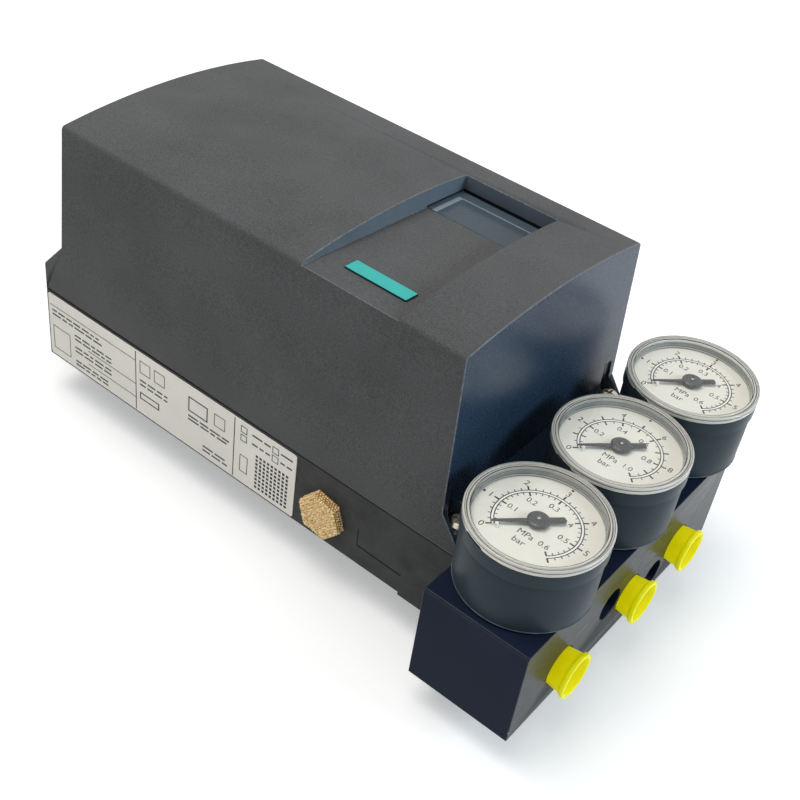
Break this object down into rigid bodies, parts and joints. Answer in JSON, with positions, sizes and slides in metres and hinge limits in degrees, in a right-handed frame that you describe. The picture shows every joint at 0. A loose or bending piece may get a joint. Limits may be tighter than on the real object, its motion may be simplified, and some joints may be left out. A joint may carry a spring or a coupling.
{
  "type": "valve positioner",
  "caption": "Boxy grey valve positioner with an arched cover, a sunk display window and a black gauge block with round pressure gauges and capped air ports.",
  "frame": {"origin": "centre of the bracket hole pattern, on the feedback shaft's axis, in the mounting face", "axes": "+Z from the mounting face to the front, +X along the length to the gauge block, -Y to the side with the label"},
  "size_m": [0.2445, 0.1315, 0.1124],
  "materials": {
    "base_plastic": "moulded dark grey, fine grain",
    "cover_plastic": "moulded dark grey, spark-eroded grain",
    "seal_rubber": "matt black",
    "screw_steel": "zinc plated",
    "window_clear": "clear pane, slightly grey",
    "badge_teal": "satin teal foil",
    "label_foil": "pale grey foil",
    "sintered_bronze": "sintered grains",
    "shaft_steel": "ground",
    "bearing_bronze": "plain",
    "gear_plastic": "natural white",
    "inner_plastic": "black",
    "potentiometer_plastic": "blue-grey",
    "board_green": "solder mask",
    "lcd_glass": "display glass",
    "button_plastic": "grey",
    "terminal_plastic": "green",
    "valve_plastic": "off-white",
    "brass": "turned",
    "gland_plastic": "black polyamide",
    "anodised_black": "black anodised, satin",
    "black_steel": "black oxide",
    "cap_yellow": "soft yellow polyethylene",
    "case_plastic": "slate grey",
    "dial_cream": "cream enamel",
    "lens_clear": "clear polycarbonate",
    "pointer_black": "black enamel"
  },
  "bodies": {
    "housing": {"base_housing": "base_plastic", "housing_cover": "cover_plastic", "cover_gasket": "seal_rubber", "cover_screws": "screw_steel", "display_window": "window_clear", "badge_plate": "badge_teal", "rating_label": "label_foil", "silencer": "sintered_bronze", "shaft_bush": "bearing_bronze", "potentiometer": "potentiometer_plastic", "board_carrier": "inner_plastic", "main_board": "board_green", "board_screws": "screw_steel", "lcd_module": "lcd_glass", "module_cover": "inner_plastic", "button_switches": "inner_plastic", "terminal_block": "terminal_plastic", "pneumatic_block": "inner_plastic", "pneumatic_gasket": "seal_rubber", "pneumatic_screws": "screw_steel", "pilot_valves": "valve_plastic", "restrictor_screws": "brass", "cable_gland_body": "gland_plastic", "cable_gland_nut": "gland_plastic", "cable_gland_seal": "seal_rubber", "blanking_plug": "gland_plastic", "gauge_block": "anodised_black", "block_seals": "seal_rubber", "block_screws": "black_steel", "channel_plug": "black_steel", "gauge_stems": "brass", "bourdon_tubes": "bearing_bronze", "movement_frames": "brass", "gauge_case_1": "case_plastic", "gauge_dial_1": "dial_cream", "gauge_lens_1": "lens_clear", "gauge_case_2": "case_plastic", "gauge_dial_2": "dial_cream", "gauge_lens_2": "lens_clear", "gauge_case_3": "case_plastic", "gauge_dial_3": "dial_cream", "gauge_lens_3": "lens_clear"},
    "shaft": {"feedback_shaft": "shaft_steel", "shaft_ring": "screw_steel", "drive_gear": "gear_plastic", "clutch_wheel": "inner_plastic"},
    "pot_spindle": {"potentiometer_gear": "gear_plastic"},
    "pointer_1": {"gauge_pointer_1": "pointer_black"},
    "sector_1": {"gauge_sector_1": "brass"},
    "cap_1": {"port_cap_1": "cap_yellow"},
    "pointer_2": {"gauge_pointer_2": "pointer_black"},
    "sector_2": {"gauge_sector_2": "brass"},
    "cap_2": {"port_cap_2": "cap_yellow"},
    "pointer_3": {"gauge_pointer_3": "pointer_black"},
    "sector_3": {"gauge_sector_3": "brass"},
    "cap_3": {"port_cap_3": "cap_yellow"},
    "key_mode": {"button_mode": "button_plastic"},
    "key_up": {"button_up": "button_plastic"},
    "key_down": {"button_down": "button_plastic"}
  },
  "joints": [
    {"name": "shaft_turn", "type": "hinge", "parent": "housing", "child": "shaft", "pos_m": [0, 0, 0], "axis": [0, 0, 1], "range_deg": [-50, 50]},
    {"name": "pot_turn", "type": "hinge", "parent": "housing", "child": "pot_spindle", "pos_m": [-0.032, 0, 0], "axis": [0, 0, 1], "range_deg": [-151, 151]},
    {"name": "pointer_turn_1", "type": "hinge", "parent": "housing", "child": "pointer_1", "pos_m": [0.11, -0.0438, 0], "axis": [0, 0, -1], "range_deg": [0, 270]},
    {"name": "sector_turn_1", "type": "hinge", "parent": "housing", "child": "sector_1", "pos_m": [0.10306, -0.03553, 0], "axis": [0, 0, -1], "range_deg": [-34, 0]},
    {"name": "pointer_turn_2", "type": "hinge", "parent": "housing", "child": "pointer_2", "pos_m": [0.11, 0, 0], "axis": [0, 0, -1], "range_deg": [0, 270]},
    {"name": "sector_turn_2", "type": "hinge", "parent": "housing", "child": "sector_2", "pos_m": [0.10306, 0.00827, 0], "axis": [0, 0, -1], "range_deg": [-34, 0]},
    {"name": "pointer_turn_3", "type": "hinge", "parent": "housing", "child": "pointer_3", "pos_m": [0.11, 0.0438, 0], "axis": [0, 0, -1], "range_deg": [0, 270]},
    {"name": "sector_turn_3", "type": "hinge", "parent": "housing", "child": "sector_3", "pos_m": [0.10306, 0.05207, 0], "axis": [0, 0, -1], "range_deg": [-34, 0]},
    {"name": "press_mode", "type": "slide", "parent": "housing", "child": "key_mode", "axis": [0, 0, -1], "range_m": [0, 0.0008], "stiffness_N_per_m": 400, "springref_m": -0.001},
    {"name": "press_up", "type": "slide", "parent": "housing", "child": "key_up", "axis": [0, 0, -1], "range_m": [0, 0.0008], "stiffness_N_per_m": 400, "springref_m": -0.001},
    {"name": "press_down", "type": "slide", "parent": "housing", "child": "key_down", "axis": [0, 0, -1], "range_m": [0, 0.0008], "stiffness_N_per_m": 400, "springref_m": -0.001},
    {"name": "cap_pull_1", "type": "slide", "parent": "housing", "child": "cap_1", "axis": [1, 0, 0], "range_m": [0, 0.02]},
    {"name": "cap_pull_2", "type": "slide", "parent": "housing", "child": "cap_2", "axis": [1, 0, 0], "range_m": [0, 0.02]},
    {"name": "cap_pull_3", "type": "slide", "parent": "housing", "child": "cap_3", "axis": [1, 0, 0], "range_m": [0, 0.02]}
  ],
  "couplings": [
    {"joint": "pot_turn", "follows": "shaft_turn", "ratio": -3},
    {"joint": "sector_turn_1", "follows": "pointer_turn_1", "ratio": -0.125},
    {"joint": "sector_turn_2", "follows": "pointer_turn_2", "ratio": -0.125},
    {"joint": "sector_turn_3", "follows": "pointer_turn_3", "ratio": -0.125}
  ]
}
